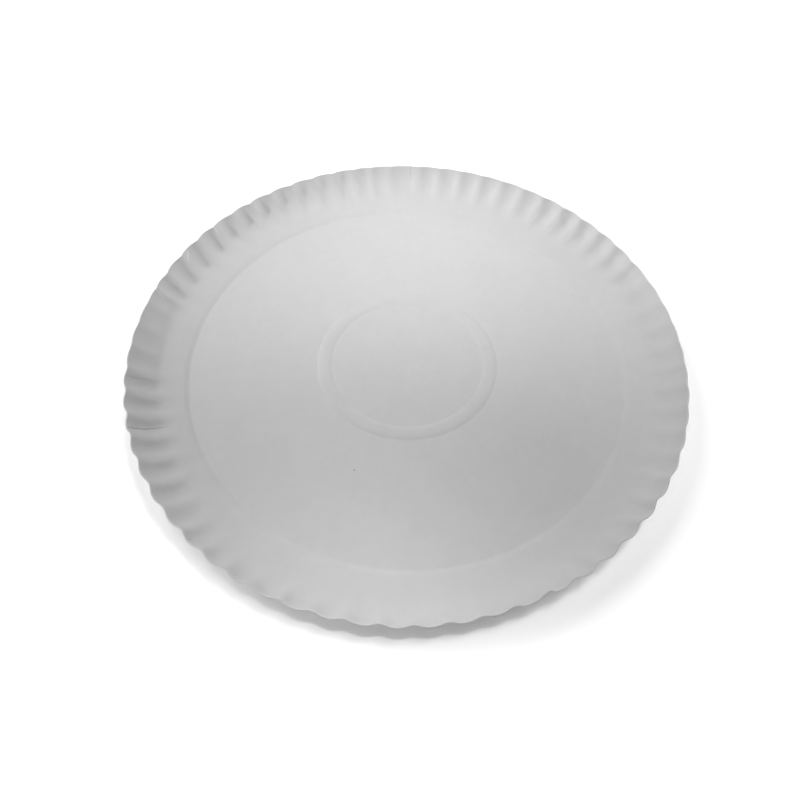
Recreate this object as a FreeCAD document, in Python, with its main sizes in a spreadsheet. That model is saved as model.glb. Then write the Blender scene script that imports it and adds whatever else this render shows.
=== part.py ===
import FreeCAD, Part

import math
import os

import Sketcher
from FreeCAD import Placement, Rotation, Vector

# A round plate pressed from one sheet of white board, lying face up.
# Sizes are millimetres, Z points up and the floor's underside lies on Z = 0.
# The middle is a turned section with a raised ring and a stepped shoulder.
# The wall round it is pressed into flutes: it curls up more at a crest than
# in the channel beside it, so every flute starts from nothing at the shoulder
# and is deepest at the cut edge, where it scallops the outline.

# name, size, what it measures
SIZES = (
    ("rim_diameter", 229.0, "over the cut edge, mean of crests and channels"),
    ("rim_height", 10.8, "underside of the cut edge, mean of crests and channels"),
    ("board_thickness", 0.6, "the sheet that the plate is pressed from"),
    ("wall_reach", 13.2, "fluted wall, measured outwards"),
    ("flute_count", 64, "flutes round the wall"),
    ("flute_depth", 1.4, "crest to channel at the cut edge, square to the wall"),
    ("crest_share", 0.4, "part of a flute's width that its crest takes"),
    ("shoulder_reach", 7.3, "plain shoulder inside the wall, measured outwards"),
    ("shoulder_rise", 1.4, "height that the shoulder gains"),
    ("step_reach", 2.3, "pressed step round the floor, measured outwards"),
    ("step_rise", 0.7, "height that the step gains"),
    ("ring_diameter", 70.6, "raised ring, along the middle of its crown"),
    ("ring_width", 5.4, "raised ring, between the middles of its two ramps"),
    ("ring_ramp", 1.0, "width of each ramp of the ring"),
    ("ring_rise", 0.35, "height of the ring's crown above the floor"),
)

# Straight runs that the curved section of the wall is drawn with
WALL_RUNS = 4


def make_sheet(document):
    """Write the driving sizes into a spreadsheet, one alias to a size."""
    sheet = document.addObject("Spreadsheet::Sheet", "Sizes")
    for row, (name, size, meaning) in enumerate(SIZES, start=1):
        sheet.set(f"A{row}", name)
        sheet.set(f"B{row}", str(size))
        sheet.set(f"C{row}", meaning)
        sheet.setAlias(f"B{row}", name)
    document.recompute()
    return sheet


def section_corners():
    """Corners of the turned section's underside, as expressions of radius and height."""
    wall_foot = "Sizes.rim_diameter / 2 - Sizes.wall_reach"
    step_top = f"{wall_foot} - Sizes.shoulder_reach"
    floor_edge = f"{step_top} - Sizes.step_reach"
    ring_inside = "(Sizes.ring_diameter - Sizes.ring_width) / 2"
    ring_outside = "(Sizes.ring_diameter + Sizes.ring_width) / 2"
    half_ramp = "Sizes.ring_ramp / 2"
    return (
        (f"{ring_inside} - {half_ramp}", None),
        (f"{ring_inside} + {half_ramp}", "Sizes.ring_rise"),
        (f"{ring_outside} - {half_ramp}", "Sizes.ring_rise"),
        (f"{ring_outside} + {half_ramp}", None),
        (floor_edge, None),
        (step_top, "Sizes.step_rise"),
        (wall_foot, "Sizes.step_rise + Sizes.shoulder_rise"),
    )


def worked_out(sheet, expression):
    """Value of an expression of the sheet's sizes, or 0 where there is none."""
    return float(sheet.evalExpression(expression)) if expression else 0.0


def parallel_corners(corners, distance):
    """Corners of the line that runs beside an open line at a distance, to its left."""
    beside = []
    for index, corner in enumerate(corners):
        before = corner - corners[index - 1] if index else corners[1] - corner
        after = corners[index + 1] - corner if index + 1 < len(corners) else before
        middle = before.normalize() + after.normalize()
        middle.normalize()
        left = Vector(-middle.y, middle.x, 0)
        beside.append(corner + left * (distance / middle.dot(before)))
    return beside


def make_section_sketch(body, sheet):
    """Half section of floor, ring, step and shoulder, bound to the sheet."""
    sketch = body.newObject("Sketcher::SketchObject", "FloorSection")
    plane = next(f for f in body.Origin.OriginFeatures if f.Role == "XZ_Plane")
    sketch.AttachmentSupport = [(plane, "")]
    sketch.MapMode = "FlatFace"

    expressions = section_corners()
    under = [Vector(0, 0, 0)]
    for radius, height in expressions:
        under.append(Vector(worked_out(sheet, radius), worked_out(sheet, height), 0))
    over = parallel_corners(under, worked_out(sheet, "Sizes.board_thickness"))
    outline = under + over[::-1]
    for start, end in zip(outline, outline[1:] + outline[:1]):
        sketch.addGeometry(Part.LineSegment(start, end), False)

    last = len(outline) - 1
    runs = len(under) - 1
    for line in range(len(outline)):
        following = 0 if line == last else line + 1
        sketch.addConstraint(Sketcher.Constraint("Coincident", line, 2, following, 1))
    sketch.addConstraint(Sketcher.Constraint("Coincident", 0, 1, -1, 1))
    sketch.addConstraint(Sketcher.Constraint("Vertical", last))
    sketch.addConstraint(Sketcher.Constraint("Perpendicular", runs - 1, runs))

    for line, (radius, height) in enumerate(expressions):
        bind(sketch, "DistanceX", line, f"corner_radius_{line}", radius, under[line + 1].x)
        if height:
            bind(sketch, "DistanceY", line, f"corner_height_{line}", height, under[line + 1].y)
        else:
            sketch.addConstraint(Sketcher.Constraint("PointOnObject", line, 2, -1))

    thickness = worked_out(sheet, "Sizes.board_thickness")
    for line in range(runs):
        beside = last - 1 - line
        sketch.addConstraint(Sketcher.Constraint("Parallel", line, beside))
        number = sketch.addConstraint(Sketcher.Constraint("Distance", beside, 2, line, thickness))
        sketch.renameConstraint(number, f"board_{line}")
        sketch.setExpression(f"Constraints.board_{line}", "Sizes.board_thickness")
    return sketch


def bind(sketch, kind, line, name, expression, value):
    """Dimension the end of a line from the origin and bind it to an expression."""
    number = sketch.addConstraint(Sketcher.Constraint(kind, -1, 1, line, 2, value))
    sketch.renameConstraint(number, name)
    sketch.setExpression(f"Constraints.{name}", expression)


def make_floor(document, sheet):
    """Turned middle of the plate: floor, ring, step and shoulder."""
    body = document.addObject("PartDesign::Body", "FloorAndShoulder")
    sketch = make_section_sketch(body, sheet)
    turned = body.newObject("PartDesign::Revolution", "TurnedFloor")
    turned.Profile = sketch
    turned.ReferenceAxis = (sketch, ["V_Axis"])
    turned.Angle = 360
    body.Tip = turned
    return body


class WallSection:
    """The wall's section in one plane through the axis: an arc off the shoulder."""

    def __init__(self, foot, slope, edge):
        """Foot and edge are (radius, height) on the underside, slope is in radians."""
        reach = edge[0] - foot[0]
        rise = edge[1] - foot[1]
        self.slope = slope
        self.turn = 2 * (math.atan2(rise, reach) - slope)
        self.bend = math.hypot(reach, rise) / (2 * math.sin(self.turn / 2))
        self.centre = (
            foot[0] - self.bend * math.sin(slope),
            foot[1] + self.bend * math.cos(slope),
        )

    def point(self, share, inwards=0.0):
        """Radius and height at a share of the arc, a distance inside it."""
        angle = self.slope + share * self.turn
        bend = self.bend - inwards
        return (
            self.centre[0] + bend * math.sin(angle),
            self.centre[1] - bend * math.cos(angle),
        )

    def across(self):
        """Unit direction square to the wall at the cut edge, inwards and up."""
        angle = self.slope + self.turn
        return (-math.sin(angle), math.cos(angle))


def wall_sections(size):
    """Sections through the bottom of a channel and through a crest."""
    foot = (
        size["rim_diameter"] / 2 - size["wall_reach"],
        size["step_rise"] + size["shoulder_rise"],
    )
    slope = math.atan2(size["shoulder_rise"], size["shoulder_reach"])
    edge = (size["rim_diameter"] / 2, size["rim_height"])
    across = WallSection(foot, slope, edge).across()
    half_depth = size["flute_depth"] / 2
    channel_edge = [e - half_depth * a for e, a in zip(edge, across)]
    crest_edge = [e + half_depth * a for e, a in zip(edge, across)]
    return WallSection(foot, slope, channel_edge), WallSection(foot, slope, crest_edge)


def flute_arc(flute_angle, crest_share):
    """Unit arc over one flute, channel to channel, split where the crest begins and ends."""
    half = flute_angle / 2
    arc = Part.BSplineCurve()
    arc.buildFromPolesMultsKnots(
        [
            Vector(math.cos(half), -math.sin(half), 0),
            Vector(1 / math.cos(half), 0, 0),
            Vector(math.cos(half), math.sin(half), 0),
        ],
        (3, 3),
        (0.0, 1.0),
        False,
        2,
        (1.0, math.cos(half), 1.0),
    )
    arc.insertKnot((1 - crest_share) / 2)
    arc.insertKnot((1 + crest_share) / 2)
    return arc


def flute_row(arc, wave, channel_point, crest_point):
    """Poles of one wavy line across a flute, from its channel and crest points."""
    row = []
    for pole, lift in zip(arc.getPoles(), wave):
        radius = channel_point[0] + lift * (crest_point[0] - channel_point[0])
        height = channel_point[1] + lift * (crest_point[1] - channel_point[1])
        row.append(Vector(pole.x * radius, pole.y * radius, height))
    return row


def flute_strip(arc, first_row, second_row):
    """Ruled face between two wavy lines."""
    weights = arc.getWeights()
    surface = Part.BSplineSurface()
    surface.buildFromPolesMultsKnots(
        [list(pair) for pair in zip(first_row, second_row)],
        arc.getMultiplicities(),
        (2, 2),
        arc.getKnots(),
        (0.0, 1.0),
        False,
        False,
        arc.Degree,
        1,
        [[weight, weight] for weight in weights],
    )
    return surface.toShape()


def flute_faces(size):
    """All faces of one flute: both skins, its cut edge and the seat on the shoulder."""
    channel, crest = wall_sections(size)
    arc = flute_arc(2 * math.pi / round(size["flute_count"]), size["crest_share"])
    # Height of the wave's poles: 0 in the channels, past 1 at the crest's middle pole
    wave = (0, 0, 1 + size["crest_share"], 0, 0)
    skins = []
    for inwards in (0.0, size["board_thickness"]):
        rows = []
        for run in range(WALL_RUNS + 1):
            share = run / WALL_RUNS
            channel_point = channel.point(share, inwards)
            rows.append(flute_row(arc, wave, channel_point, crest.point(share, inwards)))
        skins.append(rows)
    underside, face = skins
    faces = [flute_strip(arc, underside[0], face[0]), flute_strip(arc, underside[-1], face[-1])]
    for rows in skins:
        faces += [flute_strip(arc, first, second) for first, second in zip(rows, rows[1:])]
    return faces


def make_wall(document, size):
    """Fluted wall as one closed ring, its flutes repeated round the axis."""
    one_flute = Part.makeCompound(flute_faces(size))
    count = round(size["flute_count"])
    flutes = []
    for number in range(count):
        flute = one_flute.copy()
        flute.rotate(Vector(0, 0, 0), Vector(0, 0, 1), number * 360 / count)
        flutes += flute.Faces
    ring = Part.makeCompound(flutes)
    ring.sewShape(1e-5)
    wall = document.addObject("Part::Feature", "FlutedWall")
    wall.Shape = Part.makeSolid(ring.Shells[0])
    wall.Placement = Placement(Vector(0, 0, 0), Rotation())
    return wall


def make_plate(document, floor, wall):
    """Join the turned floor and the fluted wall into the one sheet that the plate is."""
    plate = document.addObject("Part::Fuse", "Plate")
    plate.Base = floor
    plate.Tool = wall
    plate.Refine = True
    plate.Label = "pressed_plate"
    return plate


def check(document, plates):
    """Stop where an object failed or a solid is missing, open or broken."""
    for item in document.Objects:
        if "Invalid" in item.State or "Error" in item.State:
            raise RuntimeError(f"{item.Label} failed: {item.State}")
    for plate in plates:
        shape = plate.Shape
        if shape.isNull() or not shape.isValid() or len(shape.Solids) != 1:
            raise RuntimeError(f"{plate.Label} is not one sound solid")


def main():
    document = FreeCAD.newDocument("PaperPlate")
    sheet = make_sheet(document)
    size = {name: float(sheet.get(name)) for name, *_ in SIZES}
    floor = make_floor(document, sheet)
    wall = make_wall(document, size)
    plate = make_plate(document, floor, wall)
    document.recompute()
    check(document, [plate])

    os.makedirs("parts", exist_ok=True)
    plate.Shape.exportStep(os.path.join("parts", f"{plate.Label}.step"))
    box = plate.Shape.BoundBox
    print(f"{plate.Label}: {box.XLength:.2f} x {box.YLength:.2f} x {box.ZLength:.2f} mm")
    print(f"board {plate.Shape.Volume / 1000:.2f} cm3 in {len(plate.Shape.Faces)} faces")


main()
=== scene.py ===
"""Looks of the paper plate: the pressed and fluted sheet, its board finish and the studio round it."""
from math import atan2, cos, pi, radians, sin, tan

import bpy
from bpy.props import FloatProperty, FloatVectorProperty, IntProperty, PointerProperty
from mathutils import Matrix, Vector


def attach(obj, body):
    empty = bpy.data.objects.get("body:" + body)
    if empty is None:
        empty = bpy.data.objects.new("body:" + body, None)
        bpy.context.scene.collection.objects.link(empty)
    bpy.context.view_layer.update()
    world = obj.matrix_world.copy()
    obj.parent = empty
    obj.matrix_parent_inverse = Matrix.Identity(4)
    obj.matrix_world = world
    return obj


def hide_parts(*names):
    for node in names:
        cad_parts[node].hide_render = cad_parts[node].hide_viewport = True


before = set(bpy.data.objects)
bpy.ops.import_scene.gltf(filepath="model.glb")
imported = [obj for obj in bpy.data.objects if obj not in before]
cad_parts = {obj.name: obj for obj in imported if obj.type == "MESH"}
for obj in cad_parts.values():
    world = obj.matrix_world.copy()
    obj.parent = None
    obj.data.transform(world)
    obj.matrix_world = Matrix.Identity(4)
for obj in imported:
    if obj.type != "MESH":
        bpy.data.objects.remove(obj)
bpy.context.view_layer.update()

bl_info = {
    "name": "Pressed paper plate",
    "version": (1, 0, 0),
    "blender": (4, 5, 0),
    "location": "View3D > Sidebar > Plate",
    "description": "Builds a fluted plate of pressed white board, its finish and the studio round it",
    "category": "Object",
}

PLATE = "pressed_plate"
MILLIMETRE = 0.001

# The plate was pressed unevenly. Each curve below is a list of (turn round the rim from +X, value there).
# How deep the flutes are, as a share of the set depth.
DEPTH_ROUND_RIM = [
    (0.0, 0.45), (0.055, 0.45), (0.075, 0.65), (0.1, 1.0), (0.125, 1.1), (0.142, 1.1), (0.165, 0.9),
    (0.22, 0.8), (0.255, 0.85), (0.29, 1.2), (0.32, 1.6), (0.36, 1.6), (0.39, 1.15), (0.45, 0.95),
    (0.47, 0.45), (0.51, 0.5), (0.53, 0.95), (0.6, 0.95), (0.68, 0.9), (0.74, 0.75), (0.8, 0.75),
    (0.835, 0.95), (0.875, 1.0), (0.93, 0.7), (0.975, 0.5), (1.0, 0.45),
]
# How fast the flutes fade down the wall, as a power: small values reach far down, large ones stay high up.
FADE_ROUND_RIM = [
    (0.0, 0.8), (0.06, 0.7), (0.08, 0.6), (0.25, 0.6), (0.28, 0.8), (0.475, 0.8), (0.51, 0.75),
    (0.53, 0.5), (0.58, 0.6), (0.62, 1.2), (0.66, 1.9), (0.87, 1.9), (0.93, 1.0), (1.0, 0.8),
]
# How far the flutes have drifted from even spacing, in flutes.
DRIFT_ROUND_RIM = [
    (0.0, 0.21), (0.03, 0.25), (0.06, 0.1), (0.085, -0.05), (0.12, 0.0), (0.2, 0.05), (0.246, 0.18),
    (0.268, -0.1), (0.285, 0.15), (0.304, 0.28), (0.34, 0.28), (0.37, 0.27), (0.41, 0.32), (0.45, 0.25),
    (0.462, 0.42), (0.473, 0.73), (0.49, 0.68), (0.51, 0.62), (0.55, 0.62), (0.58, 0.68),
    (0.62, 0.58), (0.68, 0.61), (0.72, 0.57), (0.76, 0.49), (0.8, 0.45), (0.825, 0.3),
    (0.87, 0.26), (0.92, 0.19), (0.955, 0.12), (1.0, 0.21),
]
# How much deeper the flutes are halfway up the wall than their fade alone makes them, as a share.
BODY_ROUND_RIM = [
    (0.0, 0.0), (0.06, 0.1), (0.08, 0.2), (0.14, 0.2), (0.165, 0.4), (0.25, 0.4), (0.27, 0.2), (0.37, 0.2),
    (0.39, 0.3), (0.45, 0.3), (0.47, 0.0), (0.505, 0.0), (0.52, 0.7), (0.58, 0.7), (0.605, 0.3),
    (0.63, 0.0), (1.0, 0.0),
]
# How far the rim is pulled out (or in) by its bends, in millimetres.
PULL_ROUND_RIM = [
    (0.0, 0.24), (0.05, 0.3), (0.085, 0.2), (0.2, 0.15), (0.255, 0.05), (0.29, 0.3), (0.36, 0.4),
    (0.385, 0.35), (0.43, 0.3), (0.46, 0.15), (0.51, 0.25), (0.56, 0.2), (0.6, 0.15), (0.665, 0.2),
    (0.685, 0.3), (0.71, 0.15), (0.75, -0.05), (0.78, -0.4), (0.82, -0.8), (0.86, -0.75),
    (0.89, -0.45), (0.92, 0.0), (0.95, 0.2), (1.0, 0.24),
]

# Makes share * share * (1 - share) reach 1 at its highest.
BELLY_FACTOR = 6.75
# The crests stay below the rim of the CAD solid: how far they may rise, and over what height that sets in.
HIGHEST_RISE = 0.32 * MILLIMETRE
RISE_SOFTNESS = 0.25 * MILLIMETRE
# The nick in the cut edge: half its width as a share of a turn, and the power that keeps it at the edge.
NICK_HALF_WIDTH = 0.0022
NICK_FADE = 12.0

# Points on one side of the raised ring, as shares of the way from its foot to its middle.
RING_SHARES = (0.0, 0.05, 0.1, 0.15, 0.2, 0.28, 0.4, 0.55, 0.75)
# Place of the ring's first point in the line of the underside.
RING_FIRST = 2
# Straight runs of the wall's section.
WALL_RUNS = 14
# The flutes begin this far inside the wall's foot, and grow with this power.
FLUTE_LEAD = 2 * MILLIMETRE
FLUTE_GROWTH = 1.3
# The cut edge: its points as angles, how far it bulges, and how far the press crushed its upper side back,
# both as shares of the board's thickness.
EDGE_ANGLES = (-90, -55, -25, 10, 45, 70, 90)
EDGE_BULGE = 0.3
EDGE_CRUSH = 0.22

# Creases and specks on this plate, in millimetres from its middle: start (x, y), end (x, y), half width,
# sideways bow, and how much lighter (or darker) the board's colour is there. Along the creases this tone is
# painted shade and painted highlight standing in for the shading of the folds; the short dark spots are
# specks in the board.
CREASE_SHADE_AND_SPECKS = [
    (-106.1, -42.7, -94.5, -37.6, 0.36, 0.5, -0.50),
    (-112.4, -18.9, -105.0, -16.6, 0.28, 0.2, -0.20),
    (-93.6, 66.0, -90.6, 64.0, 0.60, 0.3, 0.30),
    (-102.1, 50.8, -101.2, 45.8, 0.45, -0.1, 0.22),
    (-111.3, 26.6, -107.6, 24.6, 0.80, 0.0, 0.20),
    (-87.8, -63.4, -85.0, -67.2, 0.35, 0.2, -0.05),
    (-73.9, -87.0, -73.0, -86.0, 0.40, 0.0, -0.22),
    (-75.3, -83.6, -74.6, -83.0, 0.30, 0.0, -0.12),
    (-56.0, -98.6, -55.4, -97.6, 0.35, 0.0, -0.18),
    (-100.6, -9.8, -100.0, -9.2, 0.35, 0.0, -0.14),
    (-100.8, 42.2, -100.1, 38.6, 0.22, 0.0, -0.05),
    (-104.8, 36.0, -105.4, 32.3, 0.22, 0.0, 0.06),
    (-2.0, 114.4, -1.9, 110.6, 0.30, 0.0, -0.20),
    (-18.8, -52.6, -18.3, -52.4, 0.50, 0.0, -0.50),
    (26.8, 72.9, 27.7, 72.6, 0.45, 0.0, -0.09),
    (73.8, 41.2, 75.0, 40.4, 0.50, 0.0, -0.13),
    (51.5, -100.6, 52.4, -100.0, 0.40, 0.0, -0.38),
]

# The camera, fitted to the perspective of the floor's circles and the rim.
CAMERA_PLACE = (0.0, -0.1755, 0.2430)
CAMERA_RIGHT = Vector((0.99921, 0.03711, 0.01456))
CAMERA_UP = Vector((-0.03908, 0.84015, 0.54095))
CAMERA_LENS = 31.45
CAMERA_SENSOR = 36.0

# Soft panels: name, brightness, turn from +X, lower and upper edge, spread. Angles are in degrees.
PANEL_DISTANCE = 1.3
PANELS = [
    ("right high panel", 7.6, 30, (66, 78), 40),
    ("right panel", 2.9, 30, (41, 54), 40),
    ("right middle panel", 0.75, 30, (27, 41), 40),
    ("right low panel", 0.2, 30, (12, 27), 40),
    ("left high panel", 2.7, 150, (41, 54), 40),
    ("left panel", 1.8, 150, (27, 41), 40),
    ("left low panel", 1.4, 150, (12, 27), 40),
    ("left side panel", 1.9, 180, (20, 36), 40),
    ("back low panel", 1.8, 70, (15, 35), 40),
    ("right side panel", 0.8, 350, (50, 75), 50),
    ("front panel", 0.6, 250, (25, 60), 60),
]
# Soft pools of light on the plate: name, power in watts, place, target, cone in degrees.
POOL_RADIUS = 0.04
POOLS = [
    ("right far pool", 21.0, (1.1, -0.2, 0.75), (-0.05, 0.08, 0.0), 9.0),
    ("left far pool", 16.5, (-1.1, -0.2, 0.75), (0.05, 0.08, 0.0), 9.0),
    ("left wide pool", 11.0, (-1.1, -0.2, 0.75), (0.0, 0.08, 0.0), 13.0),
    ("front far pool", 11.0, (0.0, -1.1, 0.75), (0.0, 0.135, 0.0), 7.0),
    ("back near pool", 10.0, (-0.65, 0.85, 0.75), (-0.01, -0.10, 0.0), 6.0),
    ("high near pool", 9.0, (0.0, 0.0, 1.3), (-0.01, -0.10, 0.0), 6.0),
]

# The white ground: half its side, its colour for all light but the camera's, and the distances from the
# plate's middle between which the camera sees it fade into the backdrop.
FLOOR_REACH = 3.0
FLOOR_COLOUR = (0.8, 0.8, 0.8, 1.0)
BACKDROP_FROM = 0.32
BACKDROP_FULL = 0.5


class PlateSizes(bpy.types.PropertyGroup):
    """Sizes of the pressed plate"""

    rim_diameter: FloatProperty(
        name="Rim diameter", description="Across the underside of the cut edge, mean of crests and channels",
        default=0.229, unit="LENGTH")
    rim_height: FloatProperty(
        name="Rim height", description="Underside of the cut edge over the table",
        default=0.0108, unit="LENGTH")
    board_thickness: FloatProperty(
        name="Board", description="Thickness of the board", default=0.0006, unit="LENGTH")
    wall_reach: FloatProperty(
        name="Wall reach", description="Wall foot to cut edge, seen from above",
        default=0.0132, unit="LENGTH")
    shoulder_reach: FloatProperty(
        name="Shoulder reach", description="Step top to wall foot, seen from above",
        default=0.0075, unit="LENGTH")
    shoulder_rise: FloatProperty(
        name="Shoulder rise", description="Step top to wall foot, upwards", default=0.0013, unit="LENGTH")
    step_reach: FloatProperty(
        name="Step reach", description="Width of the step that ends the floor", default=0.0019, unit="LENGTH")
    step_rise: FloatProperty(
        name="Step rise", description="Height of the step that ends the floor", default=0.0008, unit="LENGTH")
    ring_diameter: FloatProperty(
        name="Ring diameter", description="Middle of the raised ring", default=0.0706, unit="LENGTH")
    ring_width: FloatProperty(
        name="Ring width", description="Across the raised ring's flat top and half its ramps",
        default=0.0054, unit="LENGTH")
    ring_ramp: FloatProperty(
        name="Ring ramp", description="Width of each slope of the ring", default=0.001, unit="LENGTH")
    ring_rise: FloatProperty(
        name="Ring rise", description="Height of the raised ring", default=0.00048, unit="LENGTH")
    flute_count: IntProperty(name="Flutes", description="Flutes round the wall", default=64, min=8)
    flute_depth: FloatProperty(
        name="Flute depth", description="Crest to channel at the cut edge, square to the wall",
        default=0.0014, unit="LENGTH")
    columns: IntProperty(
        name="Columns", description="Columns of faces across one flute", default=15, min=8)


class BoardFinish(bpy.types.PropertyGroup):
    """Finish of the white board"""

    colour: FloatVectorProperty(
        name="Board colour", description="White of the clay-coated face", subtype="COLOR", size=3,
        default=(0.80, 0.80, 0.80), min=0.0, max=1.0)
    # The cut colour is lighter than the face: partly the bare fibre's own colour, partly a painted highlight
    # standing in for the lit line along the cut edge.
    cut_fibre_and_highlight_colour: FloatVectorProperty(
        name="Cut colour", description="Bare fibre on the cut edge, lightened as a painted highlight", subtype="COLOR", size=3,
        default=(0.90, 0.898, 0.892), min=0.0, max=1.0)
    roughness: FloatProperty(
        name="Roughness", description="Roughness of the satin face", default=0.48, min=0.0, max=1.0)


class StudioSettings(bpy.types.PropertyGroup):
    """Ground and lights"""

    key_light: FloatProperty(
        name="Side panels", description="Strength of the panels beside the plate", default=1.0, min=0.0)
    pool_light: FloatProperty(
        name="Pools", description="Strength of the soft pools of light on the plate", default=1.0, min=0.0)
    ambient: FloatProperty(
        name="Ambient", description="Strength of the even light from all round", default=0.01, min=0.0)
    floor_white: FloatProperty(
        name="Floor white", description="How white the camera sees the floor", default=2.35, min=0.0)


class NodeBuilder:
    """Puts nodes into a tree and joins them."""

    def __init__(self, tree):
        self.tree = tree

    def put(self, kind, label="", **settings):
        """A new node with the settings given."""
        node = self.tree.nodes.new(kind)
        node.label = label
        for name, value in settings.items():
            setattr(node, name, value)
        return node

    def feed(self, socket, value):
        """Links another node's socket to a socket, or sets its value."""
        if isinstance(value, bpy.types.NodeSocket):
            self.tree.links.new(value, socket)
        elif value is not None:
            socket.default_value = value

    def feed_all(self, node, values):
        """Feeds a node's inputs in their order."""
        for socket, value in zip(node.inputs, values):
            self.feed(socket, value)

    def math(self, operation, *values, label=""):
        node = self.put("ShaderNodeMath", label, operation=operation)
        self.feed_all(node, values)
        return node.outputs[0]

    def vector(self, operation, *values):
        node = self.put("ShaderNodeVectorMath", operation=operation)
        self.feed_all(node, values)
        gives_number = operation in ("LENGTH", "DOT_PRODUCT", "DISTANCE")
        return node.outputs["Value" if gives_number else "Vector"]

    def scaled(self, vector, factor):
        node = self.put("ShaderNodeVectorMath", operation="SCALE")
        self.feed(node.inputs[0], vector)
        self.feed(node.inputs["Scale"], factor)
        return node.outputs[0]

    def combine(self, x, y, z):
        node = self.put("ShaderNodeCombineXYZ")
        self.feed_all(node, (x, y, z))
        return node.outputs[0]

    def separate(self, vector):
        node = self.put("ShaderNodeSeparateXYZ")
        self.feed(node.inputs[0], vector)
        return node.outputs[0], node.outputs[1], node.outputs[2]

    def noise(self, vector, scale, detail=2.0, roughness=0.5, label=""):
        node = self.put("ShaderNodeTexNoise", label, noise_dimensions="3D")
        for name, given in (("Vector", vector), ("Scale", scale),
                            ("Detail", detail), ("Roughness", roughness)):
            self.feed(node.inputs[name], given)
        return node.outputs[0]

    def remap(self, value, from_low, from_high, to_low=0.0, to_high=1.0, smooth=False, label=""):
        node = self.put("ShaderNodeMapRange", label)
        node.interpolation_type = "SMOOTHSTEP" if smooth else "LINEAR"
        for name, given in (("Value", value), ("From Min", from_low), ("From Max", from_high),
                            ("To Min", to_low), ("To Max", to_high)):
            self.feed(node.inputs[name], given)
        return node.outputs["Result"]

    def hand_curve(self, value, points, label=""):
        """A value read from a curve drawn through points, all from 0 to 1."""
        node = self.put("ShaderNodeFloatCurve", label)
        curve = node.mapping.curves[0]
        while len(curve.points) < len(points):
            curve.points.new(0.5, 0.5)
        for point, place in zip(curve.points, points):
            point.location = place
        node.mapping.update()
        self.feed(node.inputs["Value"], value)
        return node.outputs[0]


def new_tree(name, kind, inputs, output):
    """An empty node group: what it takes, as (name, kind, default), and what it gives, as (name, kind)."""
    tree = bpy.data.node_groups.new(name, kind)
    for label, socket_kind, default in inputs:
        socket = tree.interface.new_socket(name=label, in_out="INPUT", socket_type=socket_kind)
        if default is not None:
            socket.default_value = default
    label, socket_kind = output
    tree.interface.new_socket(name=label, in_out="OUTPUT", socket_type=socket_kind)
    return tree


def emptied_nodes(owner):
    """A builder for the emptied tree of a material or of the world."""
    owner.use_nodes = True
    owner.node_tree.nodes.clear()
    return NodeBuilder(owner.node_tree)


def ring_line(sizes):
    """The raised ring's underside, a low rounded ridge with crisp feet, as points from foot to foot."""
    half = (sizes.ring_width + sizes.ring_ramp) / 2
    middle = sizes.ring_diameter / 2
    foot_share = 0.13
    crown_power = 1.6
    pieces = 200
    heights = [0.0]
    for step in range(pieces):
        share = (step + 0.5) / pieces
        slope = share / foot_share if share < foot_share else ((1 - share) / (1 - foot_share)) ** crown_power
        heights.append(heights[-1] + slope)
    side = []
    for share in RING_SHARES:
        height = heights[round(share * pieces)] / heights[-1] * sizes.ring_rise
        side.append((half * (1 - share), height))
    inner = [Vector((middle - reach, height)) for reach, height in side]
    outer = [Vector((middle + reach, height)) for reach, height in reversed(side)]
    return inner + [Vector((middle, sizes.ring_rise))] + outer


def rounded_bend(before, corner, after, radius, pieces):
    """Points of the arc that rounds a corner."""
    corner = Vector(corner)
    inward = (Vector(before) - corner).normalized()
    outward = (Vector(after) - corner).normalized()
    half = inward.angle(outward) / 2
    setback = radius / tan(half)
    centre = corner + (inward + outward).normalized() * radius / sin(half)
    first = corner + inward * setback - centre
    last = corner + outward * setback - centre
    sweep = first.angle_signed(last)
    points = []
    for step in range(pieces + 1):
        turn = Matrix.Rotation(-sweep * step / pieces, 2)
        points.append(centre + turn @ first)
    return points


def wall_line(foot, slope, reach, rise):
    """The wall from its foot to the cut edge: it starts along the shoulder and bends up more and more."""
    bend_power = 1.25
    fine = 8
    low, high = 0.0, 2.0
    for _ in range(40):
        turn = (low + high) / 2
        points = [Vector((0.0, 0.0))]
        for step in range(WALL_RUNS * fine):
            angle = slope + turn * ((step + 0.5) / (WALL_RUNS * fine)) ** bend_power
            points.append(points[-1] + Vector((cos(angle), sin(angle))))
        if points[-1].y / points[-1].x < rise / reach:
            low = turn
        else:
            high = turn
    scale = reach / points[-1].x
    return [foot + point * scale for point in points[::fine]]


def underside_line(sizes):
    """The sheet's underside from its centre to the cut edge, with rounded bends, as (radius, height)."""
    foot = Vector((sizes.rim_diameter / 2 - sizes.wall_reach, sizes.step_rise + sizes.shoulder_rise))
    step_top = Vector((foot.x - sizes.shoulder_reach, sizes.step_rise))
    floor_edge = Vector((step_top.x - sizes.step_reach, 0.0))
    support = Vector((0.25 * MILLIMETRE, 0.0))
    floor_bend = 2.6 * MILLIMETRE
    shoulder_bend = 4.0 * MILLIMETRE
    ring = ring_line(sizes)
    line = [Vector((0.0, 0.0)), ring[0] - support] + ring + [ring[-1] + support]
    bend = rounded_bend(line[-1], floor_edge, step_top, floor_bend, 5)
    line += [bend[0] - support] + bend
    line += rounded_bend(floor_edge, step_top, foot, shoulder_bend, 4)
    line.append((line[-1] + foot) / 2)
    slope = atan2(sizes.shoulder_rise, sizes.shoulder_reach)
    return line + wall_line(foot, slope, sizes.wall_reach, sizes.rim_height - foot.y)


def underside_places(count):
    """Points of the line that the hidden underside needs: every second one on the ring and on the wall."""
    ring = range(RING_FIRST + 1, RING_FIRST + 2 * len(RING_SHARES), 2)
    wall = range(count - WALL_RUNS, count - 1, 2)
    return [place for place in range(count - 1) if place not in ring and place not in wall]


def square_to(line, place):
    """Unit vector square to a line of points, towards the upper face."""
    before = line[max(place - 1, 0)]
    after = line[min(place + 1, len(line) - 1)]
    along = (after - before).normalized()
    return Vector((-along.y, along.x))


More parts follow.
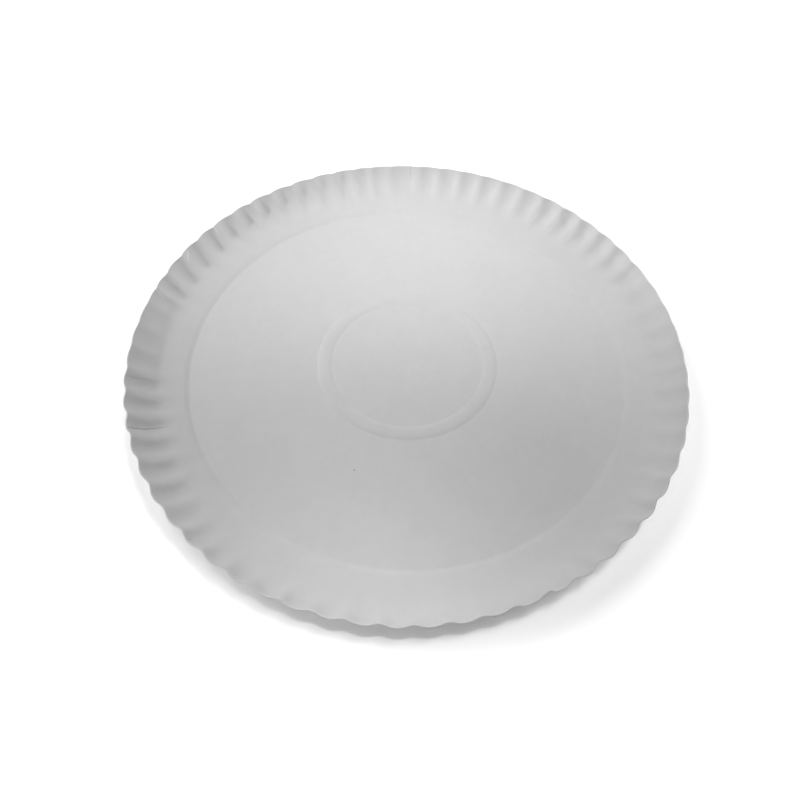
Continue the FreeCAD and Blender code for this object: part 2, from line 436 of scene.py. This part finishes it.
def flute_share(sizes, radius):
    """Share of the flutes' depth that the press gives at a radius: 0 inside the wall, 1 at the cut edge."""
    foot = sizes.rim_diameter / 2 - sizes.wall_reach
    along = (radius - foot + FLUTE_LEAD) / (sizes.wall_reach + FLUTE_LEAD)
    return sin(min(max(along, 0.0), 1.0) * pi / 2) ** FLUTE_GROWTH


def cut_edge_rows(edge, square, thick):
    """Rows of the rounded cut edge, from the underside to the face."""
    along = Vector((square.y, -square.x))
    middle = edge + square * thick / 2 - along * thick * EDGE_BULGE
    rows = []
    for angle in EDGE_ANGLES:
        turn = radians(angle)
        crushed = along * thick * EDGE_CRUSH * (1 + sin(turn))
        point = middle + along * cos(turn) * thick * EDGE_BULGE + square * sin(turn) * thick / 2 - crushed
        rows.append((point, square, 1.0, 0.0 if abs(angle) == 90 else 1.0))
    return rows


def sheet_section(sizes):
    """The closed section as rows of (point, square direction, share of the flutes' depth, cut edge)."""
    line = underside_line(sizes)
    squares = [square_to(line, place) for place in range(len(line))]
    shares = [flute_share(sizes, point.x) for point in line]
    rows = [(line[place], squares[place], shares[place], 0.0) for place in underside_places(len(line))]
    rows += cut_edge_rows(line[-1], squares[-1], sizes.board_thickness)
    for point, square, share in reversed(list(zip(line[:-1], squares, shares))):
        rows.append((point + square * sizes.board_thickness, square, share, 0.0))
    rows[-1][0].x = 0.0
    return rows


def section_object(sizes):
    """An object whose points carry the section for the geometry nodes."""
    rows = sheet_section(sizes)
    directions = [part for _, square, _, _ in rows for part in (square.x, 0.0, square.y)]
    mesh = bpy.data.meshes.new("plate section")
    mesh.from_pydata([(point.x, 0.0, point.y) for point, _, _, _ in rows], [], [])
    squares = mesh.attributes.new("square_to_sheet", "FLOAT_VECTOR", "POINT")
    squares.data.foreach_set("vector", directions)
    shares = mesh.attributes.new("flute_share", "FLOAT", "POINT")
    shares.data.foreach_set("value", [share for _, _, share, _ in rows])
    cuts = mesh.attributes.new("cut_edge", "FLOAT", "POINT")
    cuts.data.foreach_set("value", [cut for _, _, _, cut in rows])
    return bpy.data.objects.new("plate section", mesh)


class RimForm:
    """What the press did to the sheet, from the turn round the rim and the share of the flutes' depth."""

    def __init__(self, nodes, given, turn, share):
        self.nodes = nodes
        self.given = given
        self.turn = turn
        self.share = share
        angle = nodes.math("MULTIPLY", turn, 2 * pi)
        self.cosine = nodes.math("COSINE", angle)
        self.sine = nodes.math("SINE", angle)

    def drawn(self, points, span, middle, label, unit=1.0):
        """A value from a curve drawn through the listed points, which holds it as a middle and a share of a
        span.
        """
        nodes = self.nodes
        held = nodes.hand_curve(self.turn, [(turn, middle + value / span) for turn, value in points], label)
        return nodes.math("MULTIPLY", nodes.math("SUBTRACT", held, middle), span * unit)

    def noise(self, coarse, shift):
        """Noise from -1 to 1 that closes round the rim; another shift gives another pattern."""
        nodes = self.nodes
        pattern = nodes.math("ADD", nodes.math("MULTIPLY", self.given["Seed"], 3.7), shift)
        where = nodes.combine(nodes.math("MULTIPLY", self.cosine, coarse),
                              nodes.math("MULTIPLY", self.sine, coarse), pattern)
        return nodes.math("MULTIPLY", nodes.math("SUBTRACT", nodes.noise(where, 1.0, 1.0), 0.5), 2.0)

    def wave(self):
        """1 on a crest and about -1 in a channel, with sharpened crests."""
        nodes = self.nodes
        drift = self.drawn(DRIFT_ROUND_RIM, 2.0, 0.5, "drift round the rim")
        phase = nodes.math("ADD", nodes.math("MULTIPLY", self.turn, self.given["Flutes"]), drift)
        uneven = nodes.math("MULTIPLY", self.noise(9.0, 1.3), self.given["Uneven spacing"])
        angle = nodes.math("MULTIPLY", nodes.math("ADD", phase, uneven), 2 * pi)
        second = nodes.math("SUBTRACT", nodes.math("COSINE", nodes.math("MULTIPLY", angle, 2.0)), 1.0)
        sharpened = nodes.math("MULTIPLY", second, self.given["Crest sharpness"])
        return nodes.math("ADD", nodes.math("COSINE", angle), sharpened, label="crest 1, channel -1")

    def press(self):
        """How much of the flutes' depth reaches a place: it fades downwards, with a fuller middle."""
        nodes = self.nodes
        body = self.drawn(BODY_ROUND_RIM, 8.0, 0.5, "body round the rim")
        fade = self.drawn(FADE_ROUND_RIM, 2.0, 0.0, "fade round the rim")
        faded = nodes.math("POWER", self.share, fade)
        belly = nodes.math("MULTIPLY", nodes.math("MULTIPLY", self.share, self.share),
                           nodes.math("SUBTRACT", 1.0, self.share))
        fuller = nodes.math("MULTIPLY", nodes.math("MULTIPLY", belly, BELLY_FACTOR), body)
        return nodes.math("ADD", faded, fuller)

    def lift(self):
        """How far the flutes move the sheet, square to it."""
        nodes = self.nodes
        depth = self.drawn(DEPTH_ROUND_RIM, 2.0, 0.0, "depth round the rim")
        uneven = nodes.math("MULTIPLY", self.noise(11.0, 5.1), self.given["Uneven depth"])
        depth = nodes.math("MULTIPLY", depth, nodes.math("ADD", 1.0, uneven))
        pressed = nodes.math("MULTIPLY", nodes.math("MULTIPLY", depth, self.press()), self.wave())
        return nodes.math("MULTIPLY", nodes.math("MULTIPLY", self.given["Flute depth"], 0.5), pressed)

    def warp(self):
        """How far the rim waves up and down."""
        nodes = self.nodes
        height = nodes.math("MULTIPLY", self.noise(1.2, 9.4), self.given["Rim warp"])
        return nodes.math("MULTIPLY", height, self.share)

    def pull(self):
        """How far the rim's bends pull it outwards."""
        drawn = self.drawn(PULL_ROUND_RIM, 4.0, 0.5, "pull round the rim", MILLIMETRE)
        return self.nodes.math("MULTIPLY", drawn, self.share)

    def nick(self):
        """How far the nick cuts inwards."""
        nodes = self.nodes
        away = nodes.math("ABSOLUTE", nodes.math("SUBTRACT", self.turn, self.given["Nick place"]))
        near = nodes.remap(away, 0.0, NICK_HALF_WIDTH, 1.0, 0.0, True, "nick")
        near = nodes.math("MULTIPLY", near, nodes.math("POWER", self.share, NICK_FADE))
        return nodes.math("MULTIPLY", near, self.given["Nick depth"])


def closed_sheet(nodes, geometry, kept):
    """Keeps the named values on the points, closes the seam and the axis, and shades the sheet smooth."""
    for name, value in kept:
        keeper = nodes.put("GeometryNodeStoreNamedAttribute", data_type="FLOAT", domain="POINT")
        nodes.feed(keeper.inputs["Geometry"], geometry)
        keeper.inputs["Name"].default_value = name
        nodes.feed(keeper.inputs["Value"], value)
        geometry = keeper.outputs[0]
    closer = nodes.put("GeometryNodeMergeByDistance")
    nodes.feed(closer.inputs["Geometry"], geometry)
    closer.inputs["Distance"].default_value = 1e-6
    shade = nodes.put("GeometryNodeSetShadeSmooth")
    nodes.feed(shade.inputs["Geometry"], closer.outputs[0])
    real = nodes.put("GeometryNodeRealizeInstances")
    nodes.feed(real.inputs[0], shade.outputs[0])
    return real.outputs[0]


def plate_tree():
    """Turns the section round the axis and presses the flutes into the wall."""
    tree = new_tree("Fluted sheet", "GeometryNodeTree", [
        ("Section", "NodeSocketObject", None),
        ("Flutes", "NodeSocketInt", 64),
        ("Columns", "NodeSocketInt", 15),
        ("Flute depth", "NodeSocketFloat", 0.0014),
        ("Crest sharpness", "NodeSocketFloat", 0.12),
        ("Uneven spacing", "NodeSocketFloat", 0.06),
        ("Uneven depth", "NodeSocketFloat", 0.3),
        ("Rim warp", "NodeSocketFloat", 0.0002),
        ("Nick place", "NodeSocketFloat", 0.8247),
        ("Nick depth", "NodeSocketFloat", 0.0004),
        ("Seed", "NodeSocketInt", 7),
        ("Board", "NodeSocketMaterial", None),
    ], ("Geometry", "NodeSocketGeometry"))
    nodes = NodeBuilder(tree)
    given = nodes.put("NodeGroupInput").outputs
    source = nodes.put("GeometryNodeObjectInfo")
    nodes.feed(source.inputs["Object"], given["Section"])
    section = source.outputs["Geometry"]
    counter = nodes.put("GeometryNodeAttributeDomainSize", component="MESH")
    nodes.feed(counter.inputs[0], section)
    rows = counter.outputs["Point Count"]
    around = nodes.math("MULTIPLY", given["Flutes"], given["Columns"], label="columns round the plate")
    grid = nodes.put("GeometryNodeMeshGrid")
    nodes.feed(grid.inputs["Vertices X"], nodes.math("ADD", around, 1.0))
    nodes.feed(grid.inputs["Vertices Y"], rows)
    index = nodes.put("GeometryNodeInputIndex").outputs[0]
    column = nodes.math("FLOOR", nodes.math("DIVIDE", index, rows))
    row = nodes.math("SUBTRACT", index, nodes.math("MULTIPLY", column, rows))
    turn = nodes.math("FRACT", nodes.math("DIVIDE", column, around), label="turn from +X")

    def at_row(value, kind):
        sampler = nodes.put("GeometryNodeSampleIndex", data_type=kind, domain="POINT")
        nodes.feed(sampler.inputs["Geometry"], section)
        nodes.feed(sampler.inputs["Value"], value)
        nodes.feed(sampler.inputs["Index"], row)
        return sampler.outputs["Value"]

    def stored_at_row(name, kind):
        reader = nodes.put("GeometryNodeInputNamedAttribute", data_type=kind)
        reader.inputs["Name"].default_value = name
        return at_row(reader.outputs["Attribute"], kind)

    place = nodes.put("GeometryNodeInputPosition").outputs[0]
    radius, _, height = nodes.separate(at_row(place, "FLOAT_VECTOR"))
    square_out, _, square_up = nodes.separate(stored_at_row("square_to_sheet", "FLOAT_VECTOR"))
    share = stored_at_row("flute_share", "FLOAT")
    cut = stored_at_row("cut_edge", "FLOAT")

    form = RimForm(nodes, given, turn, share)
    lift = form.lift()
    out = nodes.math("ADD", radius, nodes.math("MULTIPLY", square_out, lift))
    out = nodes.math("ADD", out, form.pull())
    out = nodes.math("SUBTRACT", out, form.nick())
    rise = nodes.math("ADD", form.warp(), nodes.math("MULTIPLY", square_up, lift))
    rise = nodes.math("SMOOTH_MIN", rise, HIGHEST_RISE, RISE_SOFTNESS, label="below the CAD rim")
    up = nodes.math("ADD", height, rise)
    mover = nodes.put("GeometryNodeSetPosition")
    nodes.feed(mover.inputs["Geometry"], grid.outputs["Mesh"])
    nodes.feed(mover.inputs["Position"], nodes.combine(nodes.math("MULTIPLY", out, form.cosine),
                                                       nodes.math("MULTIPLY", out, form.sine), up))
    dress = nodes.put("GeometryNodeSetMaterial")
    kept = (("cut_edge", cut), ("flute_share", share))
    nodes.feed(dress.inputs["Geometry"], closed_sheet(nodes, mover.outputs[0], kept))
    nodes.feed(dress.inputs["Material"], given["Board"])
    result = nodes.put("NodeGroupOutput")
    nodes.feed(result.inputs[0], dress.outputs[0])
    return tree


def set_input(modifier, name, value):
    """Sets a geometry modifier's input by its name in the tree."""
    for item in modifier.node_group.interface.items_tree:
        if item.item_type == "SOCKET" and item.in_out == "INPUT" and item.name == name:
            modifier[item.identifier] = value
            return
    raise RuntimeError("the tree has no input named " + name)


def crease_group():
    """A shader group: how near a point is to a bowed line across the board, fading towards its end."""
    tree = new_tree("Crease", "ShaderNodeTree", [
        ("Flat place", "NodeSocketVector", None),
        ("Start", "NodeSocketVector", None),
        ("End", "NodeSocketVector", None),
        ("Half width", "NodeSocketFloat", None),
        ("Bow", "NodeSocketFloat", None),
    ], ("Mask", "NodeSocketFloat"))
    nodes = NodeBuilder(tree)
    given = nodes.put("NodeGroupInput").outputs
    line = nodes.vector("SUBTRACT", given["End"], given["Start"])
    reach = nodes.vector("SUBTRACT", given["Flat place"], given["Start"])
    share = nodes.math("DIVIDE", nodes.vector("DOT_PRODUCT", reach, line),
                       nodes.vector("DOT_PRODUCT", line, line))
    share = nodes.remap(share, 0.0, 1.0, label="share of the way along")
    along_x, along_y, _ = nodes.separate(nodes.vector("NORMALIZE", line))
    sideways = nodes.combine(nodes.math("MULTIPLY", along_y, -1.0), along_x, 0.0)
    hump = nodes.math("MULTIPLY", nodes.math("MULTIPLY", share, nodes.math("SUBTRACT", 1.0, share)), 4.0)
    bowed = nodes.scaled(sideways, nodes.math("MULTIPLY", hump, given["Bow"]))
    middle = nodes.vector("ADD", nodes.scaled(line, share), bowed)
    away = nodes.vector("DISTANCE", reach, middle)
    near = nodes.remap(away, 0.0, given["Half width"], 1.0, 0.0, True, "near the line")
    fade = nodes.math("SUBTRACT", 1.0, nodes.math("MULTIPLY", nodes.math("POWER", share, 2.0), 0.75))
    result = nodes.put("NodeGroupOutput")
    nodes.feed(result.inputs["Mask"], nodes.math("MULTIPLY", near, fade))
    return tree


def crease_shade_and_specks(nodes, where):
    """Sums the painted shade and painted highlights along the creases, and the specks: how much lighter or
    darker the board's colour is at a place.
    """
    x, y, _ = nodes.separate(where)
    waver = nodes.math("SUBTRACT", nodes.noise(where, 420.0, 2.0), 0.5)
    waver = nodes.math("MULTIPLY", waver, 0.5 * MILLIMETRE)
    flat = nodes.combine(nodes.math("ADD", x, waver), nodes.math("SUBTRACT", y, waver), 0.0)
    group = crease_group()
    tone = 0.0
    for start_x, start_y, end_x, end_y, half_width, bow, lighter in CREASE_SHADE_AND_SPECKS:
        crease = nodes.put("ShaderNodeGroup", "crease", node_tree=group)
        nodes.feed(crease.inputs["Flat place"], flat)
        crease.inputs["Start"].default_value = (start_x * MILLIMETRE, start_y * MILLIMETRE, 0.0)
        crease.inputs["End"].default_value = (end_x * MILLIMETRE, end_y * MILLIMETRE, 0.0)
        crease.inputs["Half width"].default_value = half_width * MILLIMETRE
        crease.inputs["Bow"].default_value = bow * MILLIMETRE
        tone = nodes.math("ADD", tone, nodes.math("MULTIPLY", crease.outputs["Mask"], lighter))
    return tone


def board_material(finish):
    """White clay-coated board: satin face, faint clouding, fine fibre, creases with painted shade and
    highlight, specks, and a cut edge lightened partly as a painted highlight.
    """
    material = bpy.data.materials.new("white pressed board")
    nodes = emptied_nodes(material)
    where = nodes.put("ShaderNodeTexCoord").outputs["Object"]
    clouds = nodes.noise(where, 70.0, 4.0, 0.55, "clouding")
    mottle = nodes.noise(where, 260.0, 3.0, 0.6, "mottling")
    fibre = nodes.noise(where, 1400.0, 5.0, 0.6, "fibre")
    ripple = nodes.noise(where, 160.0, 3.0, 0.5, "board ripple")
    cut = nodes.put("ShaderNodeAttribute", attribute_name="cut_edge").outputs["Fac"]
    # Painted shade and highlights along the creases, and dark specks.
    crease_shade_and_speck_tone = crease_shade_and_specks(nodes, where)

    tone = nodes.remap(clouds, 0.3, 0.7, 0.982, 1.008)
    tone = nodes.math("ADD", tone, nodes.remap(fibre, 0.2, 0.8, -0.014, 0.014))
    tone = nodes.math("ADD", tone, nodes.remap(mottle, 0.25, 0.75, -0.018, 0.012))
    # The cut edge gets a colour lighter than the face: bare fibre, and partly a painted highlight for the lit
    # line along the edge.
    mixer = nodes.put("ShaderNodeMix", "bare fibre and painted highlight on the cut edge", data_type="RGBA")
    nodes.feed(mixer.inputs["Factor"], cut)
    face, bare = [socket for socket in mixer.inputs if socket.type == "RGBA"]
    nodes.feed(face, nodes.scaled(tuple(finish.colour), tone))
    bare.default_value = (*finish.cut_fibre_and_highlight_colour, 1.0)
    mixed = [socket for socket in mixer.outputs if socket.type == "RGBA"][0]

    shader = nodes.put("ShaderNodeBsdfPrincipled")
    shader.inputs["Specular IOR Level"].default_value = 0.3
    # The base colour carries the painted crease shade and highlights and the specks.
    nodes.feed(shader.inputs["Base Color"], nodes.scaled(mixed, nodes.math("ADD", 1.0, crease_shade_and_speck_tone)))
    rough = nodes.remap(clouds, 0.3, 0.7, finish.roughness - 0.02, finish.roughness + 0.02)
    nodes.feed(shader.inputs["Roughness"], nodes.math("ADD", rough, nodes.math("MULTIPLY", cut, 0.25)))
    fibre_height = nodes.math("MULTIPLY", fibre, 0.012 * MILLIMETRE)
    ripple_height = nodes.math("MULTIPLY", ripple, 0.02 * MILLIMETRE)
    bump = nodes.put("ShaderNodeBump")
    bump.inputs["Strength"].default_value = 0.5
    bump.inputs["Distance"].default_value = 1.0
    nodes.feed(bump.inputs["Height"], nodes.math("ADD", fibre_height, ripple_height))
    nodes.feed(shader.inputs["Normal"], bump.outputs[0])
    output = nodes.put("ShaderNodeOutputMaterial")
    nodes.feed(output.inputs["Surface"], shader.outputs[0])
    return material


class PLATE_OT_press_plate(bpy.types.Operator):
    """Press the plate from its section, with flutes round the wall"""

    bl_idname = "plate.press_plate"
    bl_label = "Press the plate"

    def execute(self, context):
        sizes = context.scene.plate_sizes
        section = section_object(sizes)
        context.scene.collection.objects.link(section)
        blank = bpy.data.objects.new("pressed board", bpy.data.meshes.new("pressed board"))
        context.scene.collection.objects.link(blank)
        modifier = blank.modifiers.new("Fluted sheet", "NODES")
        modifier.node_group = plate_tree()
        set_input(modifier, "Section", section)
        set_input(modifier, "Flutes", sizes.flute_count)
        set_input(modifier, "Columns", sizes.columns)
        set_input(modifier, "Flute depth", sizes.flute_depth)
        set_input(modifier, "Board", board_material(context.scene.board_finish))
        evaluated = blank.evaluated_get(context.evaluated_depsgraph_get())
        mesh = bpy.data.meshes.new_from_object(evaluated)
        if not mesh.polygons:
            raise RuntimeError("the plate's geometry nodes gave no sheet")
        piece = bpy.data.objects.new("plate_sheet", mesh)
        context.scene.collection.objects.link(piece)
        bpy.data.objects.remove(blank)
        bpy.data.objects.remove(section)
        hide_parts(PLATE)
        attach(piece, "root")
        return {"FINISHED"}


def hang_lamp(data, place, target):
    """Hangs a lamp at a place and turns it to a target."""
    lamp = bpy.data.objects.new(data.name, data)
    bpy.context.scene.collection.objects.link(lamp)
    lamp.location = place
    lamp.rotation_euler = (Vector(target) - Vector(place)).to_track_quat("-Z", "Y").to_euler()


def panel_light(name, brightness, turn, heights, spread):
    """A rectangular soft light over a band of the sky, turned from +X and between two heights."""
    height = radians(sum(heights) / 2)
    turn = radians(turn)
    data = bpy.data.lights.new(name, "AREA")
    data.shape = "RECTANGLE"
    data.size = 2 * PANEL_DISTANCE * cos(height) * sin(radians(spread / 2))
    data.size_y = 2 * PANEL_DISTANCE * sin(radians(heights[1] - heights[0]) / 2)
    data.energy = brightness * pi * data.size * data.size_y
    place = Vector((cos(turn) * cos(height), sin(turn) * cos(height), sin(height))) * PANEL_DISTANCE
    hang_lamp(data, place, (0.0, 0.0, 0.0))


def pool_light(name, power, place, target, cone):
    """A narrow lamp whose light fades from the middle of its pool to the edge."""
    data = bpy.data.lights.new(name, "SPOT")
    data.energy = power
    data.spot_size = radians(cone)
    data.spot_blend = 1.0
    data.shadow_soft_size = POOL_RADIUS
    hang_lamp(data, place, target)


def floor_material(white):
    """White floor that keeps the plate's shadow; far off, the camera sees it fade into the backdrop."""
    material = bpy.data.materials.new("white floor")
    nodes = emptied_nodes(material)
    seen = nodes.put("ShaderNodeLightPath").outputs["Is Camera Ray"]
    plain = nodes.put("ShaderNodeBsdfDiffuse")
    plain.inputs["Color"].default_value = FLOOR_COLOUR
    bright = nodes.put("ShaderNodeBsdfDiffuse")
    bright.inputs["Color"].default_value = (white, white, white, 1.0)
    backdrop = nodes.put("ShaderNodeEmission")
    away = nodes.vector("LENGTH", nodes.put("ShaderNodeTexCoord").outputs["Object"])
    far_off = nodes.remap(away, BACKDROP_FROM, BACKDROP_FULL, smooth=True, label="far from the plate")
    shown = nodes.put("ShaderNodeMixShader")
    nodes.feed_all(shown, (far_off, bright.outputs[0], backdrop.outputs[0]))
    mixer = nodes.put("ShaderNodeMixShader")
    nodes.feed_all(mixer, (seen, plain.outputs[0], shown.outputs[0]))
    output = nodes.put("ShaderNodeOutputMaterial")
    nodes.feed(output.inputs["Surface"], mixer.outputs[0])
    return material


def studio_world(ambient):
    """Even light from all round, which the camera sees as white."""
    world = bpy.data.worlds.new("studio")
    nodes = emptied_nodes(world)
    seen = nodes.put("ShaderNodeLightPath").outputs["Is Camera Ray"]
    back = nodes.put("ShaderNodeBackground")
    back.inputs["Color"].default_value = (1.0, 1.0, 1.0, 1.0)
    nodes.feed(back.inputs["Strength"], nodes.remap(seen, 0.0, 1.0, ambient, 1.0))
    output = nodes.put("ShaderNodeOutputWorld")
    nodes.feed(output.inputs["Surface"], back.outputs[0])
    return world


def studio_camera():
    """The camera, at the photo's viewing angle."""
    data = bpy.data.cameras.new("camera")
    data.lens = CAMERA_LENS
    data.sensor_width = CAMERA_SENSOR
    data.clip_start = 0.01
    camera = bpy.data.objects.new("camera", data)
    turn = Matrix((CAMERA_RIGHT, CAMERA_UP, CAMERA_RIGHT.cross(CAMERA_UP))).transposed()
    camera.matrix_world = Matrix.Translation(CAMERA_PLACE) @ turn.to_4x4()
    return camera


def studio_floor(white):
    """The ground that the plate lies on."""
    far = FLOOR_REACH
    mesh = bpy.data.meshes.new("floor")
    mesh.from_pydata([(-far, -far, 0), (far, -far, 0), (far, far, 0), (-far, far, 0)], [], [(0, 1, 2, 3)])
    floor = bpy.data.objects.new("floor", mesh)
    floor.data.materials.append(floor_material(white))
    return floor


class PLATE_OT_set_stage(bpy.types.Operator):
    """Set the camera, the white floor and the lights"""

    bl_idname = "plate.set_stage"
    bl_label = "Set the stage"

    def execute(self, context):
        scene = context.scene
        studio = scene.plate_studio
        camera = studio_camera()
        scene.collection.objects.link(camera)
        scene.camera = camera
        floor = studio_floor(studio.floor_white)
        scene.collection.objects.link(floor)
        for name, brightness, turn, heights, spread in PANELS:
            panel_light(name, brightness * studio.key_light, turn, heights, spread)
        for name, power, place, target, cone in POOLS:
            pool_light(name, power * studio.pool_light, place, target, cone)
        scene.world = studio_world(studio.ambient)
        scene.view_settings.view_transform = "Standard"
        return {"FINISHED"}


class PLATE_PT_sidebar(bpy.types.Panel):
    """Sizes, finish and studio of the plate"""

    bl_label = "Paper plate"
    bl_idname = "PLATE_PT_sidebar"
    bl_space_type = "VIEW_3D"
    bl_region_type = "UI"
    bl_category = "Plate"

    def draw(self, context):
        scene = context.scene
        for title, group, operator in (("Plate", scene.plate_sizes, "plate.press_plate"),
                                       ("Board", scene.board_finish, None),
                                       ("Studio", scene.plate_studio, "plate.set_stage")):
            box = self.layout.box()
            box.label(text=title)
            for name in group.__annotations__:
                box.prop(group, name)
            if operator:
                box.operator(operator)


CLASSES = (PlateSizes, BoardFinish, StudioSettings,
           PLATE_OT_press_plate, PLATE_OT_set_stage, PLATE_PT_sidebar)


def register():
    for one in CLASSES:
        bpy.utils.register_class(one)
    bpy.types.Scene.plate_sizes = PointerProperty(type=PlateSizes)
    bpy.types.Scene.board_finish = PointerProperty(type=BoardFinish)
    bpy.types.Scene.plate_studio = PointerProperty(type=StudioSettings)


def unregister():
    del bpy.types.Scene.plate_studio
    del bpy.types.Scene.board_finish
    del bpy.types.Scene.plate_sizes
    for one in reversed(CLASSES):
        bpy.utils.unregister_class(one)


def main():
    register()
    bpy.ops.plate.press_plate()
    bpy.ops.plate.set_stage()


if __name__ == "__main__":
    main()
